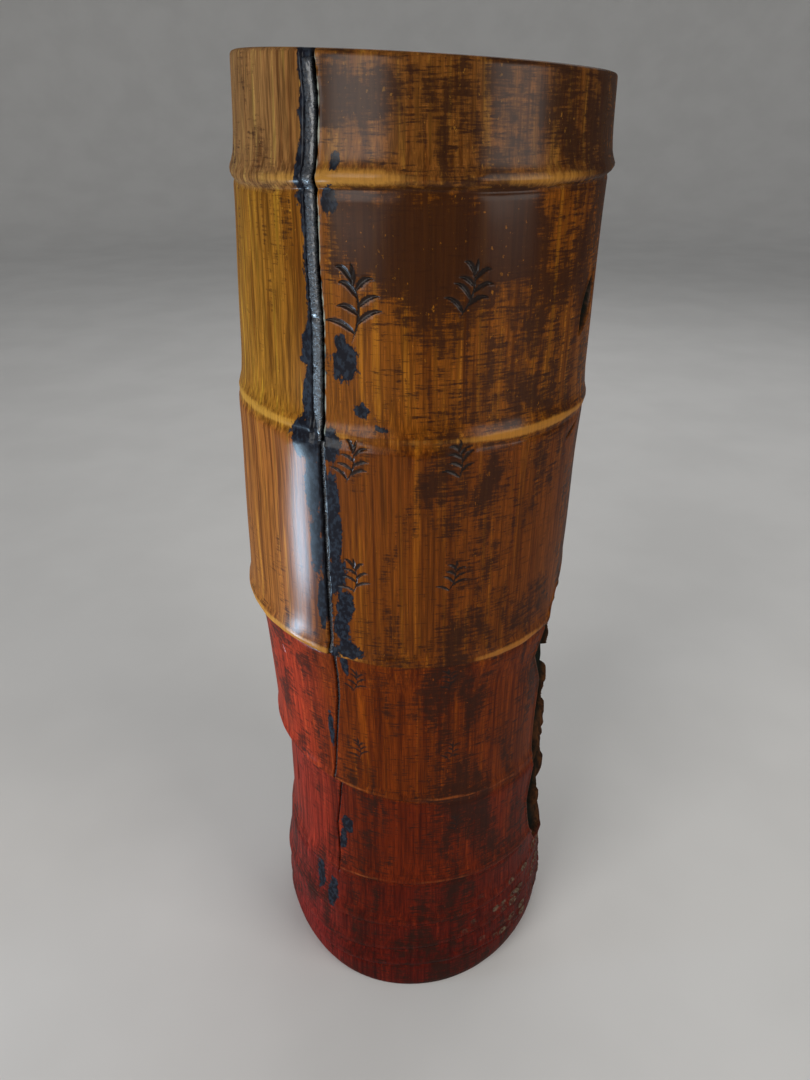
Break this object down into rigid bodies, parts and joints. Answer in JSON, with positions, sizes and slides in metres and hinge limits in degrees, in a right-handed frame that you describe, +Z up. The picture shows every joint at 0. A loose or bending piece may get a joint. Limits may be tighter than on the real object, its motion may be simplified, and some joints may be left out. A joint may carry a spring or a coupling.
{
  "type": "brush holder pot",
  "caption": "Tall cylindrical bamboo brush pot with node ridges, a lacquered drying crack, a relief panel on one flank and a let-in floor disc.",
  "frame": {"origin": "centre of the bounding box at table height, under the middle of the foot", "axes": "+Z up along the culm from foot to rim, -Y the front with the crack and the incised sprays, +X the right flank with the relief"},
  "size_m": [0.136, 0.1324, 0.3856],
  "materials": {
    "lacquered_bamboo": "glossy, worn lacquer over stained bamboo",
    "black_lacquer": "glossy, uneven black lacquer",
    "hardwood": "satin turned hardwood",
    "putty": "matt lacquer putty",
    "peg_bamboo": "stained bamboo end grain"
  },
  "bodies": {
    "root": {"culm": "lacquered_bamboo", "crack_fill_upper": "black_lacquer", "crack_fill_lower": "black_lacquer", "floor_disc": "hardwood", "floor_seal": "putty", "floor_peg_left": "peg_bamboo", "floor_peg_right": "peg_bamboo", "floor_peg_back": "peg_bamboo"}
  },
  "joints": []
}
